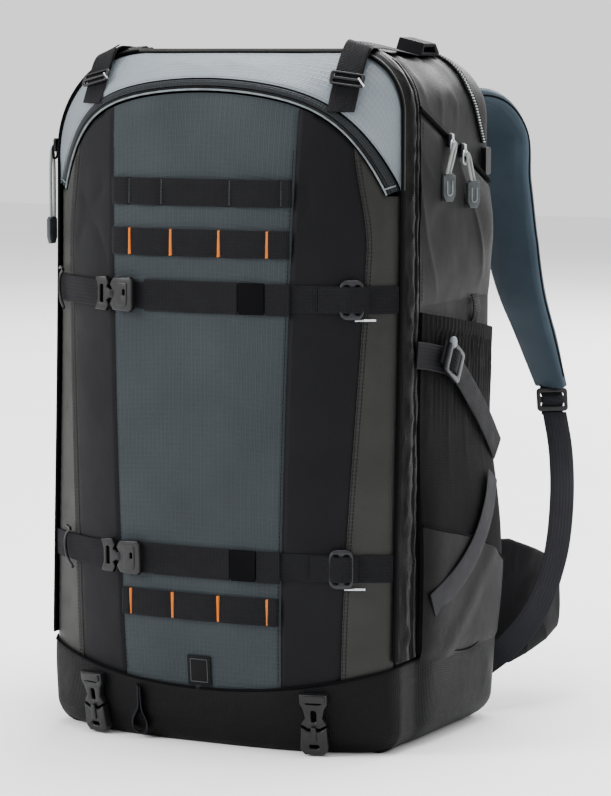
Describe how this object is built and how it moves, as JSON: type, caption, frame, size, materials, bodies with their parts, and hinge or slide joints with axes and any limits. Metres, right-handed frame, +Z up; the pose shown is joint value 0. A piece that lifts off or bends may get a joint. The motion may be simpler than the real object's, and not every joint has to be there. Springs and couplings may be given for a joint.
{
  "type": "camera backpack",
  "caption": "Tall camera backpack with an arched front lid, webbing straps with buckles, stretch side pockets, padded shoulder straps and a hip belt, standing on its boot.",
  "frame": {"origin": "on the floor under the middle of the boot's flat base", "axes": "+Z up, -Y towards the front lid, +Y towards the shoulder straps, +X towards the side with the two hanging zip pulls"},
  "size_m": [0.441, 0.506, 0.6538],
  "materials": {
    "shell_fabric": "woven nylon",
    "ripstop": "ripstop weave",
    "panel_black": "woven nylon",
    "gusset_olive": "coated nylon",
    "zip_tape": "coated tape",
    "yoke": "ripstop weave",
    "boot": "coated nylon",
    "stretch": "stretch knit",
    "webbing": "woven webbing",
    "hard_plastic": "satin",
    "label": "matte",
    "harness": "spacer mesh",
    "strap_pad": "stretch knit",
    "slider_metal": "satin",
    "pull_cord": "braided",
    "pull_tab": "matte"
  },
  "bodies": {
    "root": {"main_shell": "shell_fabric", "zip_pocket_right": "shell_fabric", "zip_pocket_left": "shell_fabric", "lid_centre": "ripstop", "lid_right": "panel_black", "lid_left": "panel_black", "gusset_right": "gusset_olive", "gusset_left": "gusset_olive", "arch_zip_band": "zip_tape", "rear_zip": "zip_tape", "top_yoke": "yoke", "base_boot": "boot", "side_pocket_right": "stretch", "side_pocket_left": "stretch", "ladder_top": "webbing", "ladder_mid": "webbing", "ladder_low": "webbing", "front_strap_upper": "webbing", "front_strap_lower": "webbing", "base_loop": "webbing", "top_strap_right": "webbing", "top_strap_left": "webbing", "strap_webbing_right": "webbing", "strap_webbing_left": "webbing", "hip_webbing_right": "webbing", "hip_webbing_left": "webbing", "side_strap_right": "webbing", "side_strap_left": "webbing", "lower_strap_right": "webbing", "lower_strap_left": "webbing", "front_buckle_upper": "hard_plastic", "front_buckle_lower": "hard_plastic", "triglide_upper": "hard_plastic", "triglide_lower": "hard_plastic", "base_buckle_left": "hard_plastic", "base_buckle_right": "hard_plastic", "strap_adjuster_right": "hard_plastic", "strap_adjuster_left": "hard_plastic", "hip_buckle": "hard_plastic", "side_lock_right": "hard_plastic", "side_lock_left": "hard_plastic", "label_tag": "label", "back_pad": "harness", "lumbar_pad": "harness", "hip_wing_right": "harness", "hip_wing_left": "harness", "top_tab": "harness", "shoulder_strap_right": "strap_pad", "shoulder_strap_left": "strap_pad", "slider_a": "slider_metal", "slider_b": "slider_metal", "slider_c": "slider_metal", "slider_d": "slider_metal", "cord_a": "pull_cord", "cord_b": "pull_cord", "cord_d": "pull_cord", "tab_a": "pull_tab", "tab_b": "pull_tab", "tab_d": "pull_tab"}
  },
  "joints": []
}
